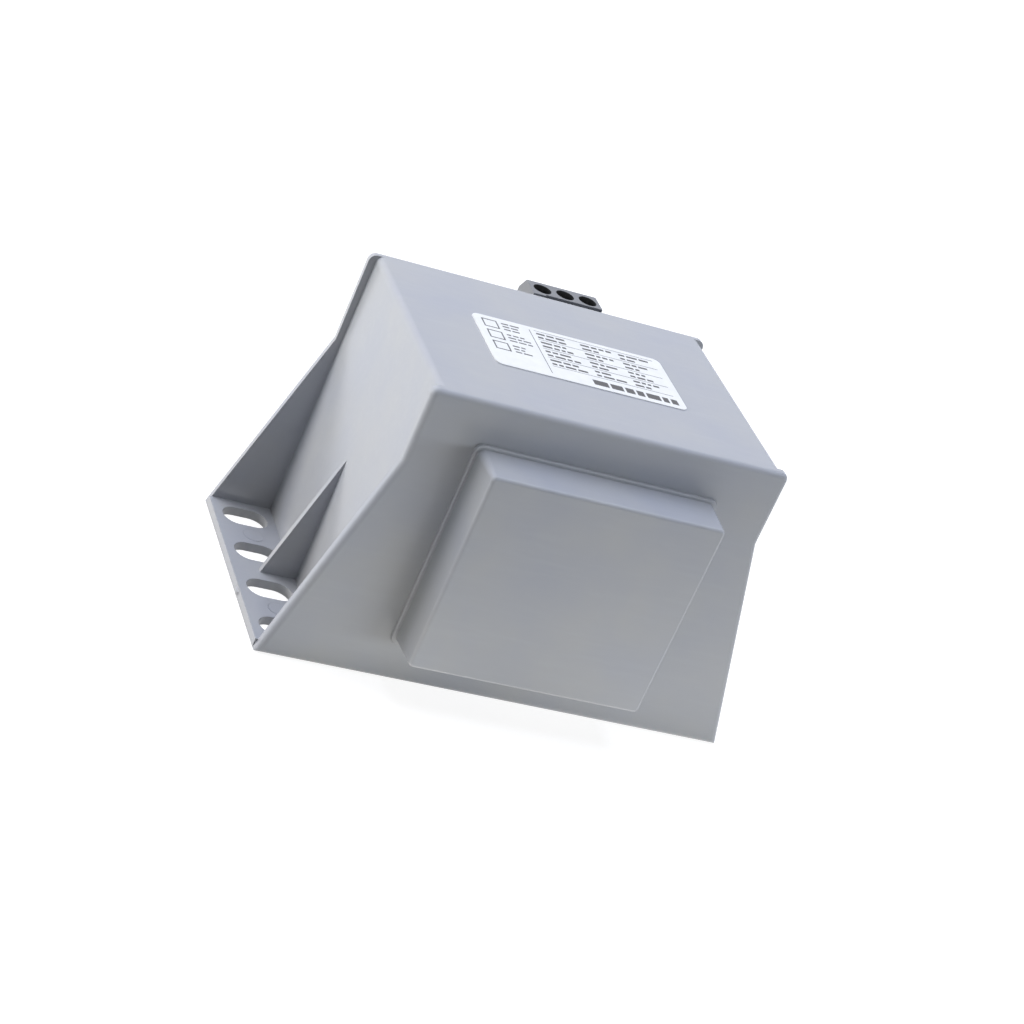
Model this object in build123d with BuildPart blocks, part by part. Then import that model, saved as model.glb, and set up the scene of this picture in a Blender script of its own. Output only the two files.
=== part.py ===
from build123d import *

import math
import os

# Encapsulated chassis transformer. Millimetres, +Z up, origin at the centre of the base between the cheeks.
# -Y is the blank front with the coil bulge, +Y the terminal side, and the flanges stand out along X.

# Core: scrapless E and I laminations, all worked out from the centre leg
centre_leg = 22.0
stack_depth = 38.0
core_hole = 4.8
core_lift = 2.3

# Gaps between the core and the moulding
core_end_gap = 0.3
core_front_gap = 0.3
core_roof_gap = 0.5

# Housing moulding
roof_wall = 2.0
cheek_wall = 2.0
end_wall = 1.8
end_draft = 0.6
ear_proud = 1.45
flange_thickness = 1.8
flange_rim = 1.8
front_kink_height = 44.4
rear_kink_height = 40.9
front_kink_radius = 4.0
rear_kink_radius = 10.0
ear_radius = 1.5
cheek_foot_radius = 1.2
cheek_edge_radius = 1.1
roof_edge_radius = 1.3
round_share = 0.8

# Mounting slots in the flanges, four at each end
slot_length = 9.4
slot_width = 6.2
slot_pitch = 13.0
slot_wall_margin = 1.6
slots_per_end = 4

# Gusset between the two middle slots
gusset_thickness = 1.2
gusset_reach = 7.1
gusset_height = 28.9

# Front bulge over the coil
bulge_wall = 1.8
bulge_draft = 0.5
bulge_film = 0.8
bulge_side_gap = 0.3
bulge_end_gap = 2.6
bulge_corner_radius = 1.4
bulge_edge_radius = 0.7
plinth_rim = 0.7
plinth_proud = 0.8
plinth_corner_radius = 1.6
plinth_edge_radius = 0.35

# Rear tower that carries the terminals on two steps
tower_wall = 1.8
tower_margin = 2.0
tower_left_margin = 2.95
tower_right_margin = 10.15
tower_corner_radius = 1.8
tower_edge_chamfer = 0.6

# Three-pole screw terminals
pole_pitch = 5.0
poles = 3
terminal_end_margin = 0.15
terminal_height = 8.4
terminal_depth = 7.8
terminal_top_depth = 5.7
terminal_shoulder = 5.8
terminal_wall_gap = 0.1
terminal_floor = 0.9
rebate_depth = 0.5
rebate_height = 0.8
rebate_start = 2.7
terminal_gap = 4.7
terminal_drop = 9.4
primary_terminal_x = 6.4
well_diameter = 3.8
entry_width = 3.0
entry_height = 3.2
entry_lift = 1.9

# Clamp, screw and pin of one pole
clamp_width = 3.6
clamp_depth = 3.2
clamp_height = 3.9
clamp_wall = 0.6
clamp_top = 1.2
clamp_gap = 0.1
thread_diameter = 2.5
thread_gap = 0.05
screw_head_diameter = 3.4
screw_head_height = 1.2
screw_gap = 0.15
screw_end_gap = 0.65
screw_slot_width = 0.6
screw_slot_depth = 0.8
tongue_thickness = 0.5
pin_width = 1.0
pin_thickness = 0.8
pin_gap = 0.15
pin_reach = 4.2

# Bobbin and windings
leg_gap = 0.2
bobbin_wall = 1.0
bobbin_flange = 1.2
bobbin_corner_chamfer = 1.2
bobbin_leg_gap = 0.4
bobbin_yoke_gap = 0.3
coil_overhang = 9.4
winding_build = 7.8
winding_gap = 0.1
winding_corner_radius = 5.0
tape_thickness = 0.3
rear_space = 2.6

# Flat leads and the thermal fuse
primary_lead_thickness = 0.4
secondary_lead_thickness = 0.6
lead_fold = 1.5
lead_height_share = 0.5
fuse_width = 6.0
fuse_depth = 2.6
fuse_height = 7.6
fuse_chamfer = 0.5
fuse_foot = 3.2
fuse_tag = 1.2
fuse_lead_straight = 1.0

# Potting resin and label
resin_lift = 1.0
label_length = 40.3
label_width = 19.9
label_thickness = 0.15
label_corner_radius = 1.6
label_x = 0.4

# Lamination sizes follow the centre leg
yoke = centre_leg / 2
window_width = centre_leg / 2
window_height = centre_leg * 3 / 2
core_length = centre_leg + 2 * window_width + 2 * yoke
core_height = window_height + 2 * yoke
window_foot = core_lift + yoke
window_middle = window_foot + window_height / 2

# Housing sizes follow the core
housing_height = core_lift + core_height + core_roof_gap + roof_wall
hollow_roof = housing_height - roof_wall
roof_half_inside = core_length / 2 + core_end_gap
foot_half_inside = roof_half_inside + end_draft
roof_half = roof_half_inside + end_wall
foot_half = foot_half_inside + end_wall
shoulder_half = roof_half + ear_proud
flange_reach = slot_wall_margin + slot_length + flange_rim
base_half = foot_half + flange_reach
hollow_depth = core_front_gap + stack_depth + coil_overhang + rear_space
housing_depth = hollow_depth + 2 * cheek_wall
front_face = -housing_depth / 2
rear_face = housing_depth / 2
front_inside = front_face + cheek_wall
rear_inside = rear_face - cheek_wall

# Core and coil places
stack_front = front_inside + core_front_gap
stack_middle = stack_front + stack_depth / 2
stack_rear = stack_front + stack_depth
coil_front = stack_front - coil_overhang
tube_half_x = centre_leg / 2 + leg_gap + bobbin_wall
tube_half_y = stack_depth / 2 + leg_gap + bobbin_wall
flange_half_x = centre_leg / 2 + window_width - bobbin_leg_gap
flange_half_y = stack_depth / 2 + coil_overhang
bobbin_height = window_height - 2 * bobbin_yoke_gap
chamber_height = (bobbin_height - 3 * bobbin_flange) / 2
primary_foot = window_middle + bobbin_flange / 2
secondary_foot = window_middle - bobbin_flange / 2 - chamber_height
winding_half_x = tube_half_x + winding_build
winding_half_y = tube_half_y + winding_build
winding_rear = stack_middle + winding_half_y
tape_rear = winding_rear + tape_thickness

# Bulge sizes follow the coil
bulge_hollow_length = 2 * flange_half_x + 2 * bulge_side_gap
bulge_hollow_height = bobbin_height + 2 * bulge_end_gap
bulge_face_length = bulge_hollow_length + 2 * bulge_wall
bulge_face_height = bulge_hollow_height + 2 * bulge_wall
bulge_root_length = bulge_face_length + 2 * bulge_draft
bulge_root_height = bulge_face_height + 2 * bulge_draft
bulge_hollow_front = coil_front - bulge_film
bulge_proud = front_face - bulge_hollow_front + bulge_wall

# Terminal places
terminal_length = poles * pole_pitch + 2 * terminal_end_margin
terminal_step = terminal_length + terminal_gap
terminal_front = rear_face + terminal_wall_gap
pole_y = terminal_front + terminal_top_depth / 2
primary_seat = housing_height - terminal_height
secondary_seat = primary_seat - terminal_drop
terminals = {
    "primary": (primary_terminal_x, primary_seat),
    "secondary": (primary_terminal_x - terminal_step, secondary_seat),
}
chamber_half_y = clamp_depth / 2 + clamp_gap
chamber_top = terminal_floor + tongue_thickness + clamp_height + clamp_gap
head_top = chamber_top + screw_gap + screw_head_height
clamp_floor = terminal_floor + tongue_thickness + clamp_wall
screw_length = head_top - screw_head_height - clamp_floor - screw_end_gap

# Tower outline
tower_proud = terminal_wall_gap + terminal_depth + tower_margin
tower_left = terminals["secondary"][0] - terminal_length / 2 - tower_left_margin
tower_right = primary_terminal_x + terminal_length / 2 + tower_right_margin
tower_step = primary_terminal_x - terminal_step / 2
tower_foot = window_middle - bulge_root_height / 2
tower_outer = rear_face + tower_proud


def pole_places(middle_x):
    """X of each pole of a terminal centred on middle_x."""
    return [middle_x + (k - (poles - 1) / 2) * pole_pitch for k in range(poles)]


def finish(block, label):
    """Labels a finished piece and writes it."""
    block.part.label = label
    export_step(block.part, f"parts/{label}.step")


def cheek_plate(outer_face, inward, kink_height, kink_radius):
    """One flared cheek: straight down from the ears, then out to the flange's end."""
    with BuildPart() as cheek:
        with BuildSketch(Plane.XZ.offset(-outer_face)) as outline:
            with BuildLine():
                Polyline(
                    (-base_half, 0),
                    (-shoulder_half, kink_height),
                    (-shoulder_half, housing_height),
                    (shoulder_half, housing_height),
                    (shoulder_half, kink_height),
                    (base_half, 0),
                    close=True,
                )
            make_face()
            corners = outline.vertices().group_by(Axis.Y)
            fillet(corners[2], ear_radius)
            fillet(corners[1], kink_radius)
            fillet(corners[0], cheek_foot_radius)
        extrude(amount=-inward * cheek_wall)
        outside = cheek.faces().sort_by(Axis.Y)[0 if inward > 0 else -1]
        fillet(outside.edges(), min(cheek_edge_radius, cheek_wall * round_share))
    return cheek.part


def tower_corners(wall):
    """Corners of the terminal tower's stepped outline, inset by wall."""
    return [
        (tower_left + wall, tower_foot + wall),
        (tower_right - wall, tower_foot + wall),
        (tower_right - wall, primary_seat - wall),
        (tower_step + wall, primary_seat - wall),
        (tower_step + wall, secondary_seat - wall),
        (tower_left + wall, secondary_seat - wall),
    ]


def housing_hollow():
    """Everything inside the moulding: the box for the core, the bulge and the tower."""
    with BuildPart() as hollow:
        with BuildSketch(Plane.XZ.offset(-rear_inside)):
            with BuildLine():
                Polyline(
                    (-foot_half_inside, 0),
                    (-roof_half_inside, hollow_roof),
                    (roof_half_inside, hollow_roof),
                    (foot_half_inside, 0),
                    close=True,
                )
            make_face()
        extrude(amount=hollow_depth)
        with BuildSketch(Plane.XZ.offset(-front_inside)):
            with Locations((0, window_middle)):
                Rectangle(bulge_hollow_length, bulge_hollow_height)
        extrude(amount=front_inside - bulge_hollow_front)
        with BuildSketch(Plane.XZ.offset(-(tower_outer - tower_wall))):
            with BuildLine():
                Polyline(*tower_corners(tower_wall), close=True)
            make_face()
        extrude(amount=tower_outer - tower_wall - rear_inside)
    return hollow.part


def front_bulge():
    """Drafted box over the coil, on a thin plinth."""
    with BuildPart() as bulge:
        with BuildSketch(Plane.XZ.offset(-front_face)):
            with Locations((0, window_middle)):
                RectangleRounded(
                    bulge_root_length + 2 * plinth_rim,
                    bulge_root_height + 2 * plinth_rim,
                    plinth_corner_radius,
                )
        extrude(amount=plinth_proud)
        fillet(bulge.faces().sort_by(Axis.Y)[0].edges(), min(plinth_edge_radius, plinth_proud * round_share))
        with BuildSketch(Plane.XZ.offset(-front_face + plinth_proud)):
            with Locations((0, window_middle)):
                RectangleRounded(bulge_root_length, bulge_root_height, bulge_corner_radius)
        pad_proud = bulge_proud - plinth_proud
        extrude(amount=pad_proud, taper=math.degrees(math.atan(bulge_draft / pad_proud)))
        fillet(bulge.faces().sort_by(Axis.Y)[0].edges(), min(bulge_edge_radius, bulge_wall * round_share))
    return bulge.part


def terminal_tower():
    """Stepped box behind the rear cheek, level with the seats of the two terminals."""
    with BuildPart() as tower:
        with BuildSketch(Plane.XZ.offset(-tower_outer)) as outline:
            with BuildLine():
                Polyline(*tower_corners(0), close=True)
            make_face()
            fillet(outline.vertices(), tower_corner_radius)
        extrude(amount=tower_proud)
        chamfer(tower.faces().sort_by(Axis.Y)[-1].edges(), min(tower_edge_chamfer, tower_wall * round_share))
    return tower.part


def coil_ring(foot, height, inner_x, inner_y, build, corner):
    """Rectangular ring round the centre leg with rounded outer corners."""
    with BuildPart() as ring:
        with BuildSketch(Plane.XY.offset(foot)):
            with Locations((0, stack_middle)):
                RectangleRounded(2 * (inner_x + build), 2 * (inner_y + build), corner)
                if corner > build:
                    RectangleRounded(2 * inner_x, 2 * inner_y, corner - build, mode=Mode.SUBTRACT)
                else:
                    Rectangle(2 * inner_x, 2 * inner_y, mode=Mode.SUBTRACT)
        extrude(amount=height)
    return ring


def strip_lead(points, thickness):
    """Flat strip as wide as a pin, folded along its route."""
    with BuildPart() as lead:
        with BuildLine() as route:
            Polyline(*points)
        with BuildSketch(Plane(origin=route.line @ 0, x_dir=(1, 0, 0), z_dir=route.line % 0)):
            Rectangle(pin_width, thickness)
        sweep(transition=Transition.RIGHT)
    return lead


os.makedirs("parts", exist_ok=True)

front_cheek = cheek_plate(front_face, 1, front_kink_height, front_kink_radius)
rear_cheek = cheek_plate(rear_face, -1, rear_kink_height, rear_kink_radius)
bulge_shell = front_bulge()
tower_shell = terminal_tower()
hollow = housing_hollow()

# Housing: end walls and roof between the cheeks, flanges, gussets, bulge and tower, hollowed from below
with BuildPart() as housing:
    with BuildSketch(Plane.XZ.offset(-rear_inside)):
        with BuildLine():
            Polyline(
                (-foot_half, 0),
                (-roof_half, housing_height),
                (roof_half, housing_height),
                (foot_half, 0),
                close=True,
            )
        make_face()
    extrude(amount=hollow_depth)
    roof_edges = housing.edges().filter_by(Axis.Y).group_by(Axis.Z)[-1]
    fillet(roof_edges, min(roof_edge_radius, roof_wall * round_share))
    with BuildSketch():
        Rectangle(2 * base_half, hollow_depth)
    extrude(amount=flange_thickness)
    add(front_cheek)
    add(rear_cheek)
    add(bulge_shell)
    add(tower_shell)
    gusset_root = foot_half - end_wall / 2
    gusset_foot = foot_half + gusset_reach
    gusset_top = foot_half - end_draft * gusset_height / housing_height
    for side in (-1, 1):
        with BuildSketch(Plane.XZ.offset(-gusset_thickness / 2)):
            with BuildLine():
                Polyline(
                    (side * gusset_root, 0),
                    (side * gusset_foot, 0),
                    (side * gusset_foot, flange_thickness),
                    (side * gusset_top, gusset_height),
                    (side * gusset_root, gusset_height),
                    close=True,
                )
            make_face()
        extrude(amount=gusset_thickness)
    add(hollow, mode=Mode.SUBTRACT)
    slot_x = foot_half + slot_wall_margin + slot_length / 2
    with BuildSketch():
        with GridLocations(2 * slot_x, slot_pitch, 2, slots_per_end):
            SlotOverall(slot_length, slot_width)
    extrude(amount=flange_thickness, mode=Mode.SUBTRACT)
    for middle_x, seat in terminals.values():
        with BuildSketch(Plane.XY.offset(seat - tower_wall)):
            with Locations([(x, pole_y) for x in pole_places(middle_x)]):
                Rectangle(pin_width + 2 * pin_gap, pin_thickness + 2 * pin_gap)
        extrude(amount=tower_wall, mode=Mode.SUBTRACT)
finish(housing, "housing")

# E laminations: back below, three legs up
with BuildPart() as core_e_stack:
    with BuildSketch(Plane.XZ.offset(-stack_rear)):
        with Locations((0, core_lift + yoke / 2)):
            Rectangle(core_length, yoke)
        with Locations((0, window_middle)):
            Rectangle(centre_leg, window_height)
        leg_x = core_length / 2 - yoke / 2
        with Locations((-leg_x, window_middle), (leg_x, window_middle)):
            Rectangle(yoke, window_height)
        with Locations((-leg_x, core_lift + yoke / 2), (leg_x, core_lift + yoke / 2)):
            Circle(core_hole / 2, mode=Mode.SUBTRACT)
    extrude(amount=stack_depth)
finish(core_e_stack, "core_e_stack")

# I laminations close the legs at the top
with BuildPart() as core_i_stack:
    bar_z = core_lift + core_height - yoke / 2
    with BuildSketch(Plane.XZ.offset(-stack_rear)):
        with Locations((0, bar_z)):
            Rectangle(core_length, yoke)
        with Locations((-leg_x, bar_z), (leg_x, bar_z)):
            Circle(core_hole / 2, mode=Mode.SUBTRACT)
    extrude(amount=stack_depth)
finish(core_i_stack, "core_i_stack")

# Bobbin: tube round the centre leg with three flanges, one chamber for each winding
with BuildPart() as bobbin:
    with BuildSketch(Plane.XY.offset(window_middle - bobbin_height / 2)):
        with Locations((0, stack_middle)):
            Rectangle(2 * tube_half_x, 2 * tube_half_y)
    extrude(amount=bobbin_height)
    bobbin_plate_foots = [
        window_middle - bobbin_height / 2,
        window_middle - bobbin_flange / 2,
        window_middle + bobbin_height / 2 - bobbin_flange,
    ]
    for foot in bobbin_plate_foots:
        with BuildSketch(Plane.XY.offset(foot)) as bobbin_plate:
            with Locations((0, stack_middle)):
                Rectangle(2 * flange_half_x, 2 * flange_half_y)
            chamfer(bobbin_plate.vertices(), bobbin_corner_chamfer)
        extrude(amount=bobbin_flange)
    with BuildSketch(Plane.XY.offset(window_middle - bobbin_height / 2)):
        with Locations((0, stack_middle)):
            Rectangle(2 * (tube_half_x - bobbin_wall), 2 * (tube_half_y - bobbin_wall))
    extrude(amount=bobbin_height, mode=Mode.SUBTRACT)
finish(bobbin, "bobbin")

# Thermal fuse: a flat case bound to the primary winding, its lower tag folded into the coil
fuse_x = pole_places(primary_terminal_x)[0]
fuse_y = tape_rear + fuse_depth / 2
fuse_case_foot = primary_foot + fuse_foot
fuse_case_top = fuse_case_foot + fuse_height
fuse_tag_z = fuse_case_foot - fuse_tag
with BuildPart() as thermal_fuse:
    with BuildSketch(Plane.XY.offset(fuse_case_foot)):
        with Locations((fuse_x, fuse_y)):
            Rectangle(fuse_width, fuse_depth)
    extrude(amount=fuse_height)
    chamfer(thermal_fuse.faces().sort_by(Axis.Y)[-1].edges(), fuse_chamfer)
    with BuildSketch(Plane.XY.offset(fuse_case_top)):
        with Locations((fuse_x, fuse_y)):
            Rectangle(pin_width, primary_lead_thickness)
    extrude(amount=fuse_tag)
    add(
        strip_lead(
            [
                (fuse_x, fuse_y, fuse_case_foot),
                (fuse_x, fuse_y, fuse_tag_z),
                (fuse_x, winding_rear, fuse_tag_z),
            ],
            primary_lead_thickness,
        ).part
    )
finish(thermal_fuse, "thermal_fuse")

# Leads from each winding to the outer pins of its terminal
leads = {}
primary_pin_foot = primary_seat - pin_reach
secondary_pin_foot = secondary_seat - pin_reach
fuse_lead_foot = fuse_case_top + fuse_tag
leads["primary_lead_1"] = strip_lead(
    [
        (fuse_x, fuse_y, fuse_lead_foot),
        (fuse_x, fuse_y, fuse_lead_foot + fuse_lead_straight),
        (fuse_x, pole_y, primary_pin_foot - fuse_lead_straight),
        (fuse_x, pole_y, primary_pin_foot),
    ],
    primary_lead_thickness,
)
lead_places = {
    "primary_lead_2": (
        pole_places(primary_terminal_x)[-1],
        primary_foot + chamber_height * lead_height_share,
        primary_pin_foot,
        primary_lead_thickness,
    ),
    "secondary_lead_1": (
        pole_places(terminals["secondary"][0])[0],
        secondary_foot + chamber_height * lead_height_share,
        secondary_pin_foot,
        secondary_lead_thickness,
    ),
    "secondary_lead_2": (
        pole_places(terminals["secondary"][0])[-1],
        secondary_foot + chamber_height * lead_height_share,
        secondary_pin_foot,
        secondary_lead_thickness,
    ),
}
for name, (x, exit_z, pin_z, thickness) in lead_places.items():
    leads[name] = strip_lead(
        [
            (x, winding_rear, exit_z),
            (x, pole_y - lead_fold, exit_z),
            (x, pole_y, exit_z + lead_fold),
            (x, pole_y, pin_z),
        ],
        thickness,
    )
for name, lead in leads.items():
    finish(lead, name)

# Windings in their chambers, each with its tape, pierced where the wires come out
windings = {}
for name, foot in (("primary", primary_foot), ("secondary", secondary_foot)):
    winding = coil_ring(
        foot + winding_gap,
        chamber_height - 2 * winding_gap,
        tube_half_x,
        tube_half_y,
        winding_build,
        winding_corner_radius,
    )
    finish(winding, f"{name}_winding")
    with BuildPart() as tape:
        add(
            coil_ring(
                foot + winding_gap,
                chamber_height - 2 * winding_gap,
                winding_half_x,
                winding_half_y,
                tape_thickness,
                winding_corner_radius + tape_thickness,
            ).part
        )
        for lead in leads.values():
            add(lead.part, mode=Mode.SUBTRACT)
        add(thermal_fuse.part, mode=Mode.SUBTRACT)
    finish(tape, f"{name}_tape")
    windings[name] = (winding, tape)

# Terminals: moulded body with a screw well and a wire entry to each clamp
inner_pieces = [core_e_stack, core_i_stack, bobbin, thermal_fuse, *leads.values()]
for pair in windings.values():
    inner_pieces.extend(pair)

for name, (middle_x, seat) in terminals.items():
    places = pole_places(middle_x)
    floor_z = seat + terminal_floor
    clamp_foot = floor_z + tongue_thickness
    with BuildPart() as terminal_body:
        with BuildSketch(Plane.YZ.offset(middle_x - terminal_length / 2)):
            with BuildLine():
                Polyline(
                    (terminal_front, seat),
                    (terminal_front + terminal_depth, seat),
                    (terminal_front + terminal_depth, seat + terminal_shoulder),
                    (terminal_front + terminal_top_depth, seat + terminal_height),
                    (terminal_front, seat + terminal_height),
                    close=True,
                )
            make_face()
        extrude(amount=terminal_length)
        with BuildSketch(Plane.XY.offset(seat + terminal_height - rebate_height)):
            with Locations((middle_x - terminal_length / 2 + rebate_start, terminal_front)):
                Rectangle(terminal_length - rebate_start, rebate_depth, align=Align.MIN)
        extrude(amount=rebate_height, mode=Mode.SUBTRACT)
        with BuildSketch(Plane.XY.offset(seat + chamber_top)):
            with Locations([(x, pole_y) for x in places]):
                Circle(well_diameter / 2)
        extrude(amount=terminal_height - chamber_top, mode=Mode.SUBTRACT)
        with BuildSketch(Plane.XY.offset(floor_z)):
            with Locations([(x, pole_y) for x in places]):
                Rectangle(clamp_width + 2 * clamp_gap, 2 * chamber_half_y)
        extrude(amount=chamber_top - terminal_floor, mode=Mode.SUBTRACT)
        with BuildSketch(Plane.XZ.offset(-(terminal_front + terminal_depth))):
            with Locations([(x, seat + entry_lift + entry_height / 2) for x in places]):
                Rectangle(entry_width, entry_height)
        extrude(amount=terminal_front + terminal_depth - pole_y, mode=Mode.SUBTRACT)
        with BuildSketch(Plane.XY.offset(seat)):
            with Locations([(x, pole_y) for x in places]):
                Rectangle(pin_width + 2 * pin_gap, pin_thickness + 2 * pin_gap)
        extrude(amount=terminal_floor, mode=Mode.SUBTRACT)
    finish(terminal_body, f"{name}_terminal_body")

    with BuildPart() as terminal_screws:
        head_foot = seat + head_top - screw_head_height
        with BuildSketch(Plane.XY.offset(head_foot)):
            with Locations([(x, pole_y) for x in places]):
                Circle(screw_head_diameter / 2)
        extrude(amount=screw_head_height)
        with BuildSketch(Plane.XY.offset(head_foot - screw_length)):
            with Locations([(x, pole_y) for x in places]):
                Circle(thread_diameter / 2 - thread_gap)
        extrude(amount=screw_length)
        with BuildSketch(Plane.XY.offset(seat + head_top - screw_slot_depth)):
            with Locations([(x, pole_y) for x in places]):
                Rectangle(screw_slot_width, screw_head_diameter)
        extrude(amount=screw_slot_depth, mode=Mode.SUBTRACT)
    finish(terminal_screws, f"{name}_terminal_screws")

    for number, x in enumerate(places, start=1):
        with BuildPart() as clamp:
            with BuildSketch(Plane.XY.offset(clamp_foot)):
                with Locations((x, pole_y)):
                    Rectangle(clamp_width, clamp_depth)
            extrude(amount=clamp_height)
            with BuildSketch(Plane.XZ.offset(-(pole_y + clamp_depth / 2))):
                with BuildLine():
                    Polyline(
                        (x - clamp_width / 2 + clamp_wall, clamp_foot + clamp_wall),
                        (x + clamp_width / 2 - clamp_wall, clamp_foot + clamp_wall),
                        (x + clamp_width / 2 - clamp_wall, clamp_foot + clamp_height - clamp_top),
                        (x - clamp_width / 2 + clamp_wall, clamp_foot + clamp_height - clamp_top),
                        close=True,
                    )
                make_face()
            extrude(amount=clamp_depth, mode=Mode.SUBTRACT)
            with BuildSketch(Plane.XY.offset(clamp_foot + clamp_height - clamp_top)):
                with Locations((x, pole_y)):
                    Circle(thread_diameter / 2)
            extrude(amount=clamp_top, mode=Mode.SUBTRACT)
        finish(clamp, f"{name}_clamp_{number}")

        with BuildPart() as pin:
            with BuildSketch(Plane.XY.offset(floor_z)):
                with Locations((x, pole_y)):
                    Rectangle(clamp_width, clamp_depth)
            extrude(amount=tongue_thickness)
            with BuildSketch(Plane.XY.offset(seat - pin_reach)):
                with Locations((x, pole_y)):
                    Rectangle(pin_width, pin_thickness)
            extrude(amount=pin_reach + terminal_floor)
        finish(pin, f"{name}_pin_{number}")
        inner_pieces.append(pin)

# Potting resin: what is left of the hollow, up from just inside the rim
with BuildPart() as potting_resin:
    add(hollow)
    split(bisect_by=Plane.XY.offset(resin_lift), keep=Keep.TOP)
    for piece in inner_pieces:
        add(piece.part, mode=Mode.SUBTRACT)
finish(potting_resin, "potting_resin")

# Rating label on the roof
with BuildPart() as rating_label:
    with BuildSketch(Plane.XY.offset(housing_height)):
        with Locations((label_x, 0)):
            RectangleRounded(label_length, label_width, label_corner_radius)
    extrude(amount=label_thickness)
finish(rating_label, "rating_label")
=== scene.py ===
import math
import random

import bmesh
import bpy
from mathutils import Matrix, Vector


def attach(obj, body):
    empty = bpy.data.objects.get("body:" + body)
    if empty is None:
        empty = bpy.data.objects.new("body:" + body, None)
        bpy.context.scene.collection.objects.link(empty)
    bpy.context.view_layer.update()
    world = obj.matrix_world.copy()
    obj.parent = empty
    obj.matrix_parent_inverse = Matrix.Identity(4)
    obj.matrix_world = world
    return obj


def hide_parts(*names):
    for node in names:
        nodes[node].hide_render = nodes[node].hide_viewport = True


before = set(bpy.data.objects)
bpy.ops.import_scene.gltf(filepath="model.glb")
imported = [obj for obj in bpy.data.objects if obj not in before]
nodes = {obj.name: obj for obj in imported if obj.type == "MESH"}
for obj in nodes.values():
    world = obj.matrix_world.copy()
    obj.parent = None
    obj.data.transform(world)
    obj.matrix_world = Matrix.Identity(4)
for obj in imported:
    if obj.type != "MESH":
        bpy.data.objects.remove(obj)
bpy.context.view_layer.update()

mm = 0.001

# Where the photograph was taken from: turns in degrees, lens and sensor in millimetres, the rest in metres
cameraSet = {
    "place": (-0.229586, -0.464086, 0.260725),
    "azimuth": -26.3846,
    "elevation": 24.3823,
    "roll": 24.5762,
    "lens": 104.13,
    "sensor": 36.0,
    "nearest": 0.01,
}


def setCamera():
    azimuth = math.radians(cameraSet["azimuth"])
    elevation = math.radians(cameraSet["elevation"])
    roll = math.radians(cameraSet["roll"])
    back = Vector((
        math.sin(azimuth) * math.cos(elevation),
        -math.cos(azimuth) * math.cos(elevation),
        math.sin(elevation),
    ))
    right = (-back).cross(Vector((0, 0, 1))).normalized()
    up = right.cross(-back)
    rolledRight = right * math.cos(roll) + up * math.sin(roll)
    rolledUp = up * math.cos(roll) - right * math.sin(roll)
    turn = Matrix((rolledRight, rolledUp, back)).transposed().to_4x4()
    data = bpy.data.cameras.new("photoCamera")
    data.lens = cameraSet["lens"]
    data.sensor_width = cameraSet["sensor"]
    data.clip_start = cameraSet["nearest"]
    camera = bpy.data.objects.new("photoCamera", data)
    camera.matrix_world = Matrix.Translation(cameraSet["place"]) @ turn
    bpy.context.scene.collection.objects.link(camera)
    bpy.context.scene.camera = camera


# Soft boxes: three overhead, a long one low behind on the left, and a low one in front on the right
lampSet = {
    "overhead": {
        "place": (0.10, 0.40, 1.20),
        "size": (0.9, 0.9),
        "watts": 12.6,
        "colour": (0.76, 0.83, 1.0),
    },
    "overheadLeft": {
        "place": (-0.45, 0.30, 1.10),
        "size": (0.7, 0.7),
        "watts": 2.6,
        "colour": (1.0, 0.93, 0.92),
    },
    "overheadFront": {
        "place": (0.05, -0.10, 1.20),
        "size": (0.6, 0.6),
        "watts": 5.0,
        "colour": (0.85, 0.90, 1.0),
    },
    "leftWindow": {
        "place": (-1.14, 0.62, 0.28),
        "size": (1.0, 0.5),
        "watts": 17.2,
        "colour": (1.0, 0.975, 0.94),
    },
    "frontRight": {
        "place": (0.84, -0.82, 0.12),
        "size": (0.9, 0.22),
        "watts": 4.4,
        "colour": (0.85, 0.92, 1.0),
    },
}


def addLamp(name, place, size, watts, colour):
    data = bpy.data.lights.new(name, "AREA")
    data.shape = "RECTANGLE"
    data.size, data.size_y = size
    data.energy = watts
    data.color = colour
    lamp = bpy.data.objects.new(name, data)
    lamp.location = place
    lamp.rotation_euler = Vector(place).to_track_quat("Z", "Y").to_euler()
    lamp.visible_glossy = False  # the gloss shows the pale room alone, as a lamp would flare in the flat roof
    bpy.context.scene.collection.objects.link(lamp)


def addNode(tree, kind, **values):
    # A value goes to the input of that name, or else to the node's own setting
    made = tree.nodes.new(kind)
    for name, value in values.items():
        if name in made.inputs:
            made.inputs[name].default_value = value
        else:
            setattr(made, name, value)
    return made


def sightRays(tree):
    # 1 for what the camera sees itself, in gloss or through glass
    path = addNode(tree, "ShaderNodeLightPath")
    total = path.outputs["Is Camera Ray"]
    for kind in ("Is Glossy Ray", "Is Transmission Ray"):
        both = addNode(tree, "ShaderNodeMath", operation="MAXIMUM")
        tree.links.new(total, both.inputs[0])
        tree.links.new(path.outputs[kind], both.inputs[1])
        total = both.outputs[0]
    return total


def twoLooks(tree, lighting, seen):
    # The first shader lights the object, and the second is seen in its place
    mix = addNode(tree, "ShaderNodeMixShader")
    tree.links.new(sightRays(tree), mix.inputs[0])
    tree.links.new(lighting.outputs[0], mix.inputs[1])
    tree.links.new(seen.outputs[0], mix.inputs[2])
    return mix.outputs[0]


def setOutput(tree, kind, source):
    out = addNode(tree, kind)
    tree.links.new(source, out.inputs[0])


# The room's own light, by direction: dim in front on the left, brighter to the right and behind
worldSet = {"toward": (0.45, 0.55, 0.70), "dim": (0.014, 0.015, 0.017), "bright": (0.045, 0.047, 0.051)}


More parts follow.
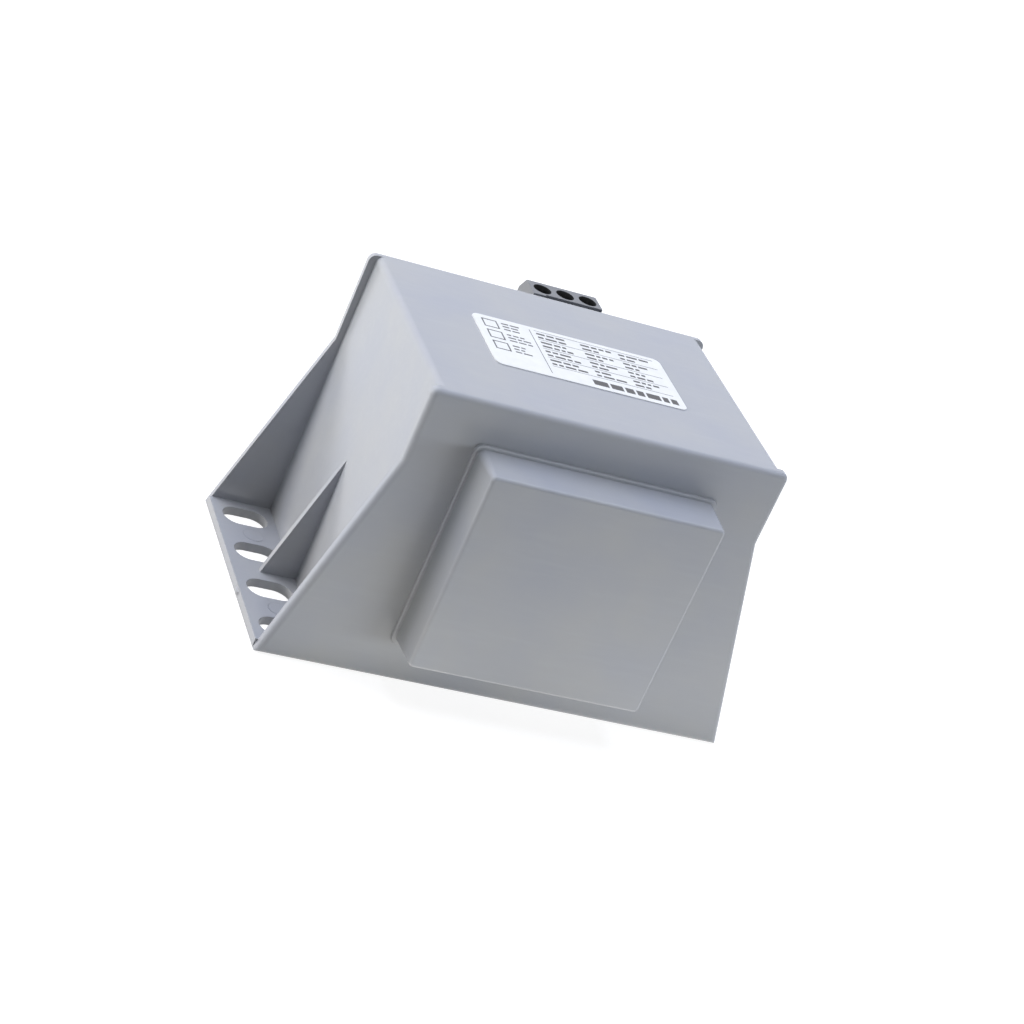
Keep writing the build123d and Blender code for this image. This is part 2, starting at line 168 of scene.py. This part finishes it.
def setWorld():
    world = bpy.data.worlds.new("studio")
    bpy.context.scene.world = world
    world.use_nodes = True
    tree = world.node_tree
    tree.nodes.clear()
    link = tree.links.new
    place = addNode(tree, "ShaderNodeTexCoord")
    along = addNode(tree, "ShaderNodeVectorMath", operation="DOT_PRODUCT")
    along.inputs[1].default_value = Vector(worldSet["toward"]).normalized()
    link(place.outputs["Generated"], along.inputs[0])
    rise = addNode(tree, "ShaderNodeMapRange", **{"From Min": -1.0})
    link(along.outputs["Value"], rise.inputs["Value"])
    ramp = addNode(tree, "ShaderNodeMix", data_type="RGBA")
    ramp.inputs["A"].default_value = (*worldSet["dim"], 1)
    ramp.inputs["B"].default_value = (*worldSet["bright"], 1)
    link(rise.outputs["Result"], ramp.inputs["Factor"])
    lit = addNode(tree, "ShaderNodeBackground")
    link(ramp.outputs["Result"], lit.inputs["Color"])
    plain = addNode(tree, "ShaderNodeBackground", Color=(1, 1, 1, 1), Strength=1.0)
    setOutput(tree, "ShaderNodeOutputWorld", twoLooks(tree, lit, plain))


# A lit white table: its glow reaches the underside of things and is strongest close in front and on the left,
# and the camera sees it white but for a faint shadow
floorSet = {
    "side": 12.0,
    "top": -0.05 * mm,  # a hair below the base, so that the two faces don't share a plane
    "colour": (0.30, 0.29, 0.28),
    "glow": (0.12, 0.117, 0.103),
    "spots": (
        {"middle": (0.035, -0.08, 0.0), "reach": 0.09, "glow": (1.60, 1.56, 1.47)},
        {"middle": (-0.035, -0.052, 0.0), "reach": 0.035, "glow": (1.50, 1.44, 1.24)},
        {"middle": (-0.45, 0.05, 0.0), "reach": 0.40, "glow": (3.2, 3.7, 4.2)},
    ),
    "seenGlow": 0.86,
    "shadowShare": 0.35,
}


def tableGlow(tree):
    # An even glow with round brighter spots, each of which fades out at its reach
    link = tree.links.new
    place = addNode(tree, "ShaderNodeTexCoord")
    glowColour = addNode(tree, "ShaderNodeRGB")
    glowColour.outputs[0].default_value = (*floorSet["glow"], 1)
    total = glowColour.outputs[0]
    for spot in floorSet["spots"]:
        away = addNode(tree, "ShaderNodeVectorMath", operation="DISTANCE")
        away.inputs[1].default_value = spot["middle"]
        link(place.outputs["Object"], away.inputs[0])
        fall = addNode(tree, "ShaderNodeMapRange", interpolation_type="SMOOTHSTEP", **{
            "From Max": spot["reach"],
            "To Min": 1.0,
            "To Max": 0.0,
        })
        link(away.outputs["Value"], fall.inputs["Value"])
        share = addNode(tree, "ShaderNodeVectorMath", operation="SCALE")
        share.inputs[0].default_value = spot["glow"]
        link(fall.outputs["Result"], share.inputs["Scale"])
        both = addNode(tree, "ShaderNodeVectorMath", operation="ADD")
        link(total, both.inputs[0])
        link(share.outputs[0], both.inputs[1])
        total = both.outputs[0]
    return total


def floorFinish():
    material = bpy.data.materials.new("paleFloor")
    material.use_nodes = True
    tree = material.node_tree
    tree.nodes.clear()
    link = tree.links.new
    matt = addNode(tree, "ShaderNodeBsdfDiffuse", Color=(*floorSet["colour"], 1))
    table = addNode(tree, "ShaderNodeEmission")
    link(tableGlow(tree), table.inputs["Color"])
    lit = addNode(tree, "ShaderNodeAddShader")
    link(matt.outputs[0], lit.inputs[0])
    link(table.outputs[0], lit.inputs[1])
    seenShade = (*[floorSet["shadowShare"]] * 3, 1)
    shaded = addNode(tree, "ShaderNodeBsdfDiffuse", Color=seenShade)
    glow = addNode(tree, "ShaderNodeEmission", Strength=floorSet["seenGlow"])
    seen = addNode(tree, "ShaderNodeAddShader")
    link(glow.outputs[0], seen.inputs[0])
    link(shaded.outputs[0], seen.inputs[1])
    # From below the table isn't there, so that the underside can be looked at
    side = addNode(tree, "ShaderNodeNewGeometry")
    clear = addNode(tree, "ShaderNodeBsdfTransparent")
    either = addNode(tree, "ShaderNodeMixShader")
    link(side.outputs["Backfacing"], either.inputs[0])
    link(twoLooks(tree, lit, seen), either.inputs[1])
    link(clear.outputs[0], either.inputs[2])
    setOutput(tree, "ShaderNodeOutputMaterial", either.outputs[0])
    return material


def layFloor():
    bm = bmesh.new()
    bmesh.ops.create_grid(bm, x_segments=1, y_segments=1, size=floorSet["side"] / 2)
    bmesh.ops.translate(bm, vec=(0, 0, floorSet["top"]), verts=bm.verts)
    mesh = bpy.data.meshes.new("floor")
    bm.to_mesh(mesh)
    bm.free()
    mesh.materials.append(floorFinish())
    floor = bpy.data.objects.new("floor", mesh)
    bpy.context.scene.collection.objects.link(floor)


def newFinish(name, roughness=0.4, **sockets):
    material = bpy.data.materials.new(name)
    material.use_nodes = True
    shader = material.node_tree.nodes["Principled BSDF"]
    shader.inputs["Roughness"].default_value = roughness
    for socket, value in sockets.items():
        shader.inputs[socket].default_value = value
    return material, material.node_tree, shader


def placeOn(tree, squeeze=(1, 1, 1), turn=(0, 0, 0)):
    # The piece's own coordinates, squeezed to draw a pattern out along an axis
    place = addNode(tree, "ShaderNodeTexCoord")
    mapping = addNode(tree, "ShaderNodeMapping", Scale=squeeze, Rotation=turn)
    tree.links.new(place.outputs["Object"], mapping.inputs["Vector"])
    return mapping.outputs["Vector"]


def speckle(tree, place, size, detail=2.0):
    # Noise whose spots are about size across, in metres
    noise = addNode(tree, "ShaderNodeTexNoise", Scale=1 / size, Detail=detail)
    tree.links.new(place, noise.inputs["Vector"])
    return noise.outputs[0]


def bands(tree, place, direction, pitch):
    # Even ribs, one each pitch along an axis: at scale 1 the wave repeats every pi / 10 of a metre
    wave = addNode(tree, "ShaderNodeTexWave", bands_direction=direction, Scale=math.pi / (10 * pitch))
    tree.links.new(place, wave.inputs["Vector"])
    return wave.outputs[0]


def spread(tree, source, low, high, fromLow=0.3, fromHigh=0.7):
    # Brings fromLow to low and fromHigh to high: noise lies mostly between 0.3 and 0.7
    ranged = addNode(tree, "ShaderNodeMapRange", **{
        "From Min": fromLow,
        "From Max": fromHigh,
        "To Min": low,
        "To Max": high,
    })
    tree.links.new(source, ranged.inputs["Value"])
    return ranged.outputs["Result"]


def tint(tree, factor, first, second):
    # Each colour is three numbers or another node's output
    mix = addNode(tree, "ShaderNodeMix", data_type="RGBA")
    for key, colour in (("A", first), ("B", second)):
        if isinstance(colour, tuple):
            mix.inputs[key].default_value = (*colour, 1)
        else:
            tree.links.new(colour, mix.inputs[key])
    tree.links.new(factor, mix.inputs["Factor"])
    return mix.outputs["Result"]


def raiseGrain(tree, shader, height, depth, under=None):
    bump = addNode(tree, "ShaderNodeBump", Strength=1.0, Distance=depth)
    tree.links.new(height, bump.inputs["Height"])
    if under is not None:
        tree.links.new(under, bump.inputs["Normal"])
    tree.links.new(bump.outputs["Normal"], shader.inputs["Normal"])


# Moulded plastics: two close colours in broad patches, faint streaks from the flow, a fine spark-eroded grain
plasticSet = {
    "housingPlastic": {
        "cool": (0.350, 0.366, 0.408),
        "warm": (0.380, 0.388, 0.404),
        "streak": (0.40, 0.415, 0.45),
        "streakShare": 0.22,
        "patch": 15 * mm,
        "grain": 0.22 * mm,
        "grainDepth": 0.006 * mm,
        "smooth": 0.20,
        "rough": 0.27,
        "edge": 0.16 * mm,
        "ior": 1.58,
    },
    "terminalPlastic": {
        "cool": (0.165, 0.172, 0.190),
        "warm": (0.180, 0.184, 0.196),
        "streak": (0.21, 0.215, 0.23),
        "streakShare": 0.15,
        "patch": 9 * mm,
        "grain": 0.16 * mm,
        "grainDepth": 0.005 * mm,
        "smooth": 0.32,
        "rough": 0.42,
        "edge": 0.10 * mm,
        "ior": 1.52,
    },
    "bobbinPlastic": {
        "cool": (0.60, 0.59, 0.55),
        "warm": (0.64, 0.62, 0.56),
        "streak": (0.68, 0.66, 0.60),
        "streakShare": 0.3,
        "patch": 12 * mm,
        "grain": 0.2 * mm,
        "grainDepth": 0.006 * mm,
        "smooth": 0.38,
        "rough": 0.5,
        "edge": 0.1 * mm,
        "ior": 1.5,
    },
}


# What the plastics share: streaks drawn out along the flow, and a gloss that varies within a patch
flowSet = {
    "squeeze": (0.10, 1.0, 1.0),
    "turn": (0.15, 0.1, 0.5),
    "size": 1.3 * mm,
    "detail": 2.5,
    "from": 0.5,
    "to": 0.8,
    "patchDetail": 3.0,
    "glossFiner": 4,
    "glossDetail": 4.0,
    "bevelSamples": 4,
}


def mouldedPlastic(name):
    look = plasticSet[name]
    flow = flowSet
    material, tree, shader = newFinish(name, IOR=look["ior"])
    patches = speckle(tree, placeOn(tree), look["patch"], flow["patchDetail"])
    body = tint(tree, spread(tree, patches, 0, 1), look["cool"], look["warm"])
    lines = speckle(tree, placeOn(tree, flow["squeeze"], flow["turn"]), flow["size"], flow["detail"])
    streaks = spread(tree, lines, 0, look["streakShare"], flow["from"], flow["to"])
    tree.links.new(tint(tree, streaks, body, look["streak"]), shader.inputs["Base Color"])
    gloss = speckle(tree, placeOn(tree), look["patch"] / flow["glossFiner"], flow["glossDetail"])
    tree.links.new(spread(tree, gloss, look["smooth"], look["rough"]), shader.inputs["Roughness"])
    rounded = addNode(tree, "ShaderNodeBevel", samples=flow["bevelSamples"], Radius=look["edge"])
    grain = speckle(tree, placeOn(tree), look["grain"])
    raiseGrain(tree, shader, grain, look["grainDepth"], rounded.outputs["Normal"])
    return material


# Plated and bare metals: a bright colour and a duller one in small clouds, and the roughness of each
metalSet = {
    "screwPlating": {
        "bright": (0.34, 0.33, 0.31),
        "dull": (0.13, 0.13, 0.125),
        "smooth": 0.26,
        "rough": 0.48,
    },
    "clampBrass": {
        "bright": (0.78, 0.62, 0.34),
        "dull": (0.60, 0.46, 0.24),
        "smooth": 0.25,
        "rough": 0.45,
    },
    "pinTin": {
        "bright": (0.74, 0.74, 0.72),
        "dull": (0.58, 0.58, 0.57),
        "smooth": 0.28,
        "rough": 0.45,
    },
    "leadTin": {
        "bright": (0.76, 0.73, 0.68),
        "dull": (0.60, 0.56, 0.50),
        "smooth": 0.25,
        "rough": 0.42,
    },
    "fuseCase": {
        "bright": (0.74, 0.66, 0.48),
        "dull": (0.60, 0.52, 0.38),
        "smooth": 0.30,
        "rough": 0.48,
    },
}

# What the metals share: the size of the clouds, and fine lines drawn out along z
brushSet = {
    "cloud": 1.6 * mm,
    "cloudDetail": 4.0,
    "squeeze": (1, 1, 0.06),
    "line": 0.06 * mm,
    "depth": 0.002 * mm,
}


def platedMetal(name):
    look = metalSet[name]
    material, tree, shader = newFinish(name, Metallic=1.0)
    clouds = speckle(tree, placeOn(tree), brushSet["cloud"], brushSet["cloudDetail"])
    colour = tint(tree, spread(tree, clouds, 0, 1), look["bright"], look["dull"])
    tree.links.new(colour, shader.inputs["Base Color"])
    tree.links.new(spread(tree, clouds, look["smooth"], look["rough"]), shader.inputs["Roughness"])
    brushed = speckle(tree, placeOn(tree, brushSet["squeeze"]), brushSet["line"])
    raiseGrain(tree, shader, brushed, brushSet["depth"])
    return material


# Sheets of the core and turns of wire show as ribs, and the lower half of each darkens into its valley with
# painted shade
ribSet = {
    "coreSteel": {
        "direction": "Y",
        "pitch": 0.5 * mm,
        "depth": 0.05 * mm,
        "top": (0.36, 0.37, 0.39),
        "valleyShade": (0.08, 0.085, 0.10),
        "metallic": 0.85,
        "roughness": 0.42,
        "coat": 0.0,
    },
    "primaryWire": {
        "direction": "Z",
        "pitch": 0.28 * mm,
        "depth": 0.08 * mm,
        "top": (0.62, 0.24, 0.09),
        "valleyShade": (0.16, 0.05, 0.02),
        "metallic": 0.75,
        "roughness": 0.3,
        "coat": 0.6,
    },
    "secondaryWire": {
        "direction": "Z",
        "pitch": 0.85 * mm,
        "depth": 0.22 * mm,
        "top": (0.64, 0.26, 0.10),
        "valleyShade": (0.16, 0.05, 0.02),
        "metallic": 0.75,
        "roughness": 0.28,
        "coat": 0.6,
    },
}


def ribbed(name):
    look = ribSet[name]
    sockets = {"Metallic": look["metallic"], "Coat Weight": look["coat"]}
    material, tree, shader = newFinish(name, look["roughness"], **sockets)
    ribs = bands(tree, placeOn(tree), look["direction"], look["pitch"])
    # painted shade: the colour follows the rib's height, dark in the valleys where shade would fall
    height = spread(tree, ribs, 0, 1, fromLow=0, fromHigh=0.5)
    tree.links.new(tint(tree, height, look["valleyShade"], look["top"]), shader.inputs["Base Color"])
    raiseGrain(tree, shader, ribs, look["depth"])
    return material


# Plain finishes: one colour, a little darker in clouds as large as spot, over a faintly uneven surface
plainSet = {
    "labelFilm": {
        "colour": (0.79, 0.795, 0.785),
        "roughness": 0.32,
        "spot": 3 * mm,
        "depth": 0.004 * mm,
    },
    "labelInk": {
        "colour": (0.075, 0.075, 0.08),
        "roughness": 0.45,
        "spot": 0.5 * mm,
        "depth": 0.002 * mm,
    },
    "pottingResin": {
        "colour": (0.030, 0.031, 0.034),
        "roughness": 0.14,
        "spot": 14 * mm,
        "depth": 0.25 * mm,
        "coat": 0.3,
    },
    # painted shade: near black, standing in for the deep shade inside the terminal wells
    "paintedWellShade": {
        "colour": (0.012, 0.013, 0.015),
        "roughness": 0.65,
        "spot": 0.5 * mm,
        "depth": 0.002 * mm,
    },
    "windingTape": {
        "colour": (0.78, 0.56, 0.08),
        "roughness": 0.28,
        "spot": 2 * mm,
        "depth": 0.02 * mm,
    },
}
cloudSet = {"shade": 0.93, "detail": 3.0}


def plainFinish(name):
    look = plainSet[name]
    coat = {"Coat Weight": look.get("coat", 0.0)}
    material, tree, shader = newFinish(name, look["roughness"], **coat)
    clouds = speckle(tree, placeOn(tree), look["spot"], cloudSet["detail"])
    darker = tuple(cloudSet["shade"] * channel for channel in look["colour"])
    colour = tint(tree, spread(tree, clouds, 0, 1), look["colour"], darker)
    tree.links.new(colour, shader.inputs["Base Color"])
    raiseGrain(tree, shader, clouds, look["depth"])
    return material


def dress(node, material):
    mesh = nodes[node].data
    mesh.materials.clear()
    mesh.materials.append(material)


def finishPiece(bm, name, material):
    mesh = bpy.data.meshes.new(name)
    bm.to_mesh(mesh)
    bm.free()
    mesh.materials.append(material)
    piece = bpy.data.objects.new(name, mesh)
    bpy.context.scene.collection.objects.link(piece)
    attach(piece, "root")
    return piece


# The sharp edges of the terminals and their screws are softened on copies
softSet = {
    "bodyWidth": 0.16 * mm,
    "screwWidth": 0.14 * mm,
    "segments": 2,
    "merge": 0.001 * mm,
    "flat": 1.0,  # degrees: faces that meet at less become one
    "curved": 0.02,  # radians: faces that meet at more than this, and less than sharp, are shaded smooth
    "sharp": 30.0,  # degrees: edges that turn by more are softened
}

# Painted shade: the wells' walls below their rims are coloured near black, in place of the deep shade inside
# them
wellShadeSet = {"wall": 0.3 * mm, "rim": 0.45 * mm, "foot": 0.1 * mm, "slope": 0.3}


def softCopy(node, width, material):
    bm = bmesh.new()
    bm.from_mesh(nodes[node].data)
    bmesh.ops.remove_doubles(bm, verts=bm.verts, dist=softSet["merge"])
    flat = math.radians(softSet["flat"])
    bmesh.ops.dissolve_limit(bm, angle_limit=flat, verts=bm.verts, edges=bm.edges)
    sharp = math.radians(softSet["sharp"])
    for edge in bm.edges:
        if len(edge.link_faces) == 2 and softSet["curved"] < edge.calc_face_angle() < sharp:
            for face in edge.link_faces:
                face.smooth = True
    edges = [
        edge for edge in bm.edges
        if len(edge.link_faces) == 2 and edge.is_convex and edge.calc_face_angle() > sharp
    ]
    made = bmesh.ops.bevel(
        bm,
        geom=edges,
        offset=width,
        offset_type="OFFSET",
        affect="EDGES",
        segments=softSet["segments"],
        profile=0.5,
        material=-1,
        clamp_overlap=True,
    )
    for face in made["faces"]:
        face.smooth = True
    piece = finishPiece(bm, "soft_" + node, material)
    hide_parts(node)
    return piece


def paintWellShade(piece, material):
    # Painted shade: faces within the outer walls, below the rims and above the foot are the wells', but for
    # the outer slope, and take the near-black colour
    corners = [Vector(corner) for corner in piece.bound_box]
    low = Vector(min(corner[axis] for corner in corners) for axis in range(3))
    high = Vector(max(corner[axis] for corner in corners) for axis in range(3))
    piece.data.materials.append(material)
    for face in piece.data.polygons:
        spot = face.center
        inset = min(spot.x - low.x, high.x - spot.x, spot.y - low.y, high.y - spot.y)
        belowRim = high.z - spot.z > wellShadeSet["rim"]
        aboveFoot = spot.z > low.z + wellShadeSet["foot"]
        outerSlope = face.normal.y > wellShadeSet["slope"] and face.normal.z > wellShadeSet["slope"]
        if inset > wellShadeSet["wall"] and belowRim and aboveFoot and not outerSlope:
            face.material_index = 1


def addBlock(bm, low, high):
    made = bmesh.ops.create_cube(bm, size=1.0)
    size = Vector(high) - Vector(low)
    bmesh.ops.scale(bm, vec=size, verts=made["verts"])
    bmesh.ops.translate(bm, vec=Vector(low) + size / 2, verts=made["verts"])


# Generic print on the label: no words, only bars as long as words would be. All in mm, x from middleX, and
# foot and top above the base; least is the shortest line as a share of the longest
labelSet = {
    "middleX": 0.4,
    "foot": 59.945,
    "top": 59.965,
    "seed": 11,
    "frames": {"x": -18.4, "ys": (5.3, 0.9, -3.5), "side": 3.2, "line": 0.28},
    "notes": {
        "x": -14.3,
        "first": 0.7,
        "lines": 3,
        "pitch": 1.15,
        "length": 5.2,
        "least": 0.55,
        "height": 0.42,
        "shortest": 0.8,
        "longest": 2.0,
        "gap": 0.35,
    },
    "divider": {"x": -8.3, "low": -8.4, "high": 8.6, "width": 0.14},
    "table": {
        "x": -7.2,
        "top": 8.6,
        "columns": (9.4, 8.2, 8.0),
        "rows": 4,
        "row": 3.45,
        "rule": 0.12,
        "levels": (0.62, 0.20),  # of the two lines in a row, as shares of its height
        "indent": 0.2,
        "margin": 0.9,
        "least": 0.45,
        "height": 0.62,
        "shortest": 0.7,
        "longest": 2.4,
        "gap": 0.4,
    },
    "blocks": {
        "x": 0.6,
        "end": 18.6,
        "low": -8.6,
        "high": -6.7,
        "shortest": 1.1,
        "longest": 3.6,
        "gap": 0.55,
    },
}


def placeBar(bm, x0, y0, x1, y1):
    low = (x0 + labelSet["middleX"], y0, labelSet["foot"])
    high = (x1 + labelSet["middleX"], y1, labelSet["top"])
    addBlock(bm, Vector(low) * mm, Vector(high) * mm)


def wordBars(bm, rng, x, y, length, height, look):
    end = x + length
    while x + look["shortest"] < end:
        step = min(rng.uniform(look["shortest"], look["longest"]), end - x)
        placeBar(bm, x, y, x + step, y + height)
        x += step + look["gap"]


def printFrames(bm, rng):
    # Square frames one above the other, each with a few short lines beside it
    frames = labelSet["frames"]
    notes = labelSet["notes"]
    x, side, line = frames["x"], frames["side"], frames["line"]
    for y in frames["ys"]:
        placeBar(bm, x, y, x + side, y + line)
        placeBar(bm, x, y + side - line, x + side, y + side)
        placeBar(bm, x, y + line, x + line, y + side - line)
        placeBar(bm, x + side - line, y + line, x + side, y + side - line)
        for number in range(notes["lines"]):
            length = notes["length"] * rng.uniform(notes["least"], 1.0)
            barY = y + side - notes["first"] - number * notes["pitch"]
            wordBars(bm, rng, notes["x"], barY, length, notes["height"], notes)


def printTable(bm, rng):
    table = labelSet["table"]
    width = sum(table["columns"])
    for row in range(table["rows"] + 1):
        y = table["top"] - row * table["row"]
        placeBar(bm, table["x"], y, table["x"] + width, y + table["rule"])
        if row == table["rows"]:
            break
        x = table["x"]
        for column in table["columns"]:
            for level in table["levels"]:
                length = (column - table["margin"]) * rng.uniform(table["least"], 1.0)
                barY = y - table["row"] + level * table["row"]
                wordBars(bm, rng, x + table["indent"], barY, length, table["height"], table)
            x += column


def printLabel(ink):
    rng = random.Random(labelSet["seed"])
    bm = bmesh.new()
    printFrames(bm, rng)
    divider = labelSet["divider"]
    placeBar(bm, divider["x"], divider["low"], divider["x"] + divider["width"], divider["high"])
    printTable(bm, rng)
    blocks = labelSet["blocks"]
    length = blocks["end"] - blocks["x"]
    height = blocks["high"] - blocks["low"]
    wordBars(bm, rng, blocks["x"], blocks["low"], length, height, blocks)
    finishPiece(bm, "labelPrint", ink)


# The broken gate on the left edge, in mm: its sides run out gently into the flange, so taper draws in its
# outer face, to that share of its foot
gateSet = {
    "x": -48.5,
    "y": -7.9,
    "z": 0.95,
    "width": 3.4,
    "height": 1.3,
    "proud": 0.34,
    "root": 0.3,
    "taper": 0.35,
    "round": 0.10,
    "segments": 4,
}


def addGate(plastic):
    bm = bmesh.new()
    halfWidth = gateSet["width"] / 2
    halfHeight = gateSet["height"] / 2
    low = Vector((gateSet["x"] - gateSet["proud"], gateSet["y"] - halfWidth, gateSet["z"] - halfHeight))
    high = Vector((gateSet["x"] + gateSet["root"], gateSet["y"] + halfWidth, gateSet["z"] + halfHeight))
    addBlock(bm, low * mm, high * mm)
    tip = [vert for vert in bm.verts if vert.co.x < gateSet["x"] * mm]
    middle = Matrix.Translation(Vector((0, -gateSet["y"], -gateSet["z"])) * mm)
    bmesh.ops.scale(bm, vec=(1, gateSet["taper"], gateSet["taper"]), space=middle, verts=tip)
    rounded = bmesh.ops.bevel(
        bm,
        geom=[edge for edge in bm.edges if all(vert.co.x < gateSet["x"] * mm for vert in edge.verts)],
        offset=gateSet["round"] * mm,
        offset_type="OFFSET",
        affect="EDGES",
        segments=gateSet["segments"],
        profile=0.5,
        material=-1,
    )
    for face in rounded["faces"]:
        face.smooth = True
    finishPiece(bm, "gateNub", plastic)


# Faint marks of the ejector pins on the flanges, in mm: a thin proud ring round a face that lies lower
ejectorSet = {
    "xs": (-41.6, 41.6),
    "ys": (-13.0, 13.0),
    "top": 1.8,
    "radius": 2.1,
    "line": 0.16,
    "proud": 0.03,
    "dipShare": 0.8,
    "sunk": 0.02,
    "sides": 40,
}


def addEjectorMarks(plastic):
    values = ejectorSet
    foot = values["top"] - values["sunk"]
    rise = (values["proud"] + values["sunk"]) * mm
    dip = -values["dipShare"] * values["proud"] * mm
    bm = bmesh.new()
    for x in values["xs"]:
        for y in values["ys"]:
            radius = values["radius"] * mm
            ring = bmesh.ops.create_circle(bm, cap_ends=True, segments=values["sides"], radius=radius)
            face = ring["verts"][0].link_faces[0]
            bmesh.ops.translate(bm, verts=ring["verts"], vec=Vector((x, y, foot)) * mm)
            made = bmesh.ops.extrude_face_region(bm, geom=[face], use_keep_orig=True)
            tops = [item for item in made["geom"] if isinstance(item, bmesh.types.BMVert)]
            bmesh.ops.translate(bm, verts=tops, vec=(0, 0, rise))
            lid = [item for item in made["geom"] if isinstance(item, bmesh.types.BMFace)]
            bmesh.ops.inset_region(bm, faces=lid, thickness=values["line"] * mm)
            bmesh.ops.translate(bm, verts=list(lid[0].verts), vec=(0, 0, dip))
    bmesh.ops.recalc_face_normals(bm, faces=bm.faces)
    finishPiece(bm, "ejectorMarks", plastic)


# The poured resin as seen from below, in mm: it climbs the wall at its edge, in steps inwards from there
resinSet = {
    "halfX": 33.84,
    "halfY": 25.12,
    "level": 0.97,
    "back": 1.3,
    "climb": (0.42, 0.24, 0.12, 0.05, 0.015, 0.0),
    "steps": (0.15, 0.25, 0.4, 0.7, 1.2),
    "smoothFrom": 0.3,
}

# A few flat bubbles under its skin, in mm; reach is the share of the resin that they are spread over
bubbleSet = {
    "count": 16,
    "seed": 5,
    "reach": 0.9,
    "radii": (0.25, 0.8),
    "flat": 0.32,
    "lift": 0.06,
    "around": 16,
    "rings": 8,
}


def addBubbles(bm):
    values = bubbleSet
    reach = values["reach"]
    rng = random.Random(values["seed"])
    for number in range(values["count"]):
        x = rng.uniform(-reach, reach) * resinSet["halfX"]
        y = rng.uniform(-reach, reach) * resinSet["halfY"]
        radius = rng.uniform(*values["radii"])
        dome = bmesh.ops.create_uvsphere(
            bm,
            u_segments=values["around"],
            v_segments=values["rings"],
            radius=radius * mm,
        )
        bmesh.ops.scale(bm, vec=(1, 1, values["flat"]), verts=dome["verts"])
        spot = Vector((x, y, resinSet["level"] + values["lift"] * radius))
        bmesh.ops.translate(bm, vec=spot * mm, verts=dome["verts"])
        for vert in dome["verts"]:
            for face in vert.link_faces:
                face.smooth = True


def pourResin(resin):
    values = resinSet
    bm = bmesh.new()
    made = bmesh.ops.create_cube(bm, size=1.0)
    size = Vector((2 * values["halfX"], 2 * values["halfY"], values["back"] - values["level"])) * mm
    bmesh.ops.scale(bm, vec=size, verts=made["verts"])
    bmesh.ops.translate(bm, vec=(0, 0, (values["back"] + values["level"]) / 2 * mm), verts=made["verts"])
    under = min(bm.faces, key=lambda face: face.calc_center_median().z)
    bmesh.ops.translate(bm, vec=(0, 0, -values["climb"][0] * mm), verts=list(under.verts))
    for step, outer, inner in zip(values["steps"], values["climb"], values["climb"][1:]):
        bmesh.ops.inset_region(bm, faces=[under], thickness=step * mm)
        bmesh.ops.translate(bm, vec=(0, 0, (outer - inner) * mm), verts=list(under.verts))
    for face in bm.faces:
        face.smooth = face.normal.z < -values["smoothFrom"] and face is not under
    addBubbles(bm)
    finishPiece(bm, "resinSkin", resin)


bpy.context.scene.view_settings.view_transform = "Standard"
setCamera()
setWorld()
layFloor()
for name, values in lampSet.items():
    addLamp(name, **values)
print("stage: camera, world, floor and lamps")

housingPlastic = mouldedPlastic("housingPlastic")
terminalPlastic = mouldedPlastic("terminalPlastic")
labelFilm = plainFinish("labelFilm")
labelInk = plainFinish("labelInk")
pottingResin = plainFinish("pottingResin")
# painted shade for the insides of the terminal wells
paintedWellShade = plainFinish("paintedWellShade")
windingTape = plainFinish("windingTape")
coreSteel = ribbed("coreSteel")
dress("housing", housingPlastic)
dress("potting_resin", pottingResin)
dress("rating_label", labelFilm)
dress("core_e_stack", coreSteel)
dress("core_i_stack", coreSteel)
dress("bobbin", mouldedPlastic("bobbinPlastic"))
dress("thermal_fuse", platedMetal("fuseCase"))
leadTin = platedMetal("leadTin")
pinTin = platedMetal("pinTin")
clampBrass = platedMetal("clampBrass")
screwPlating = platedMetal("screwPlating")
for side in ("primary", "secondary"):
    dress(f"{side}_winding", ribbed(f"{side}Wire"))
    dress(f"{side}_tape", windingTape)
    dress(f"{side}_terminal_body", terminalPlastic)
    dress(f"{side}_terminal_screws", screwPlating)
    for number in (1, 2):
        dress(f"{side}_lead_{number}", leadTin)
    for number in (1, 2, 3):
        dress(f"{side}_clamp_{number}", clampBrass)
        dress(f"{side}_pin_{number}", pinTin)
print("materials: one for every node")

for side in ("primary", "secondary"):
    body = softCopy(f"{side}_terminal_body", softSet["bodyWidth"], terminalPlastic)
    # the wells' walls get painted shade, a near-black colour in place of their deep shade
    paintWellShade(body, paintedWellShade)
    softCopy(f"{side}_terminal_screws", softSet["screwWidth"], screwPlating)
print("terminals: edges softened and wells darkened")
printLabel(labelInk)
print("label: generic print")
addGate(housingPlastic)
addEjectorMarks(housingPlastic)
print("housing: gate and ejector marks")
pourResin(pottingResin)
print("underside: skin of the resin")
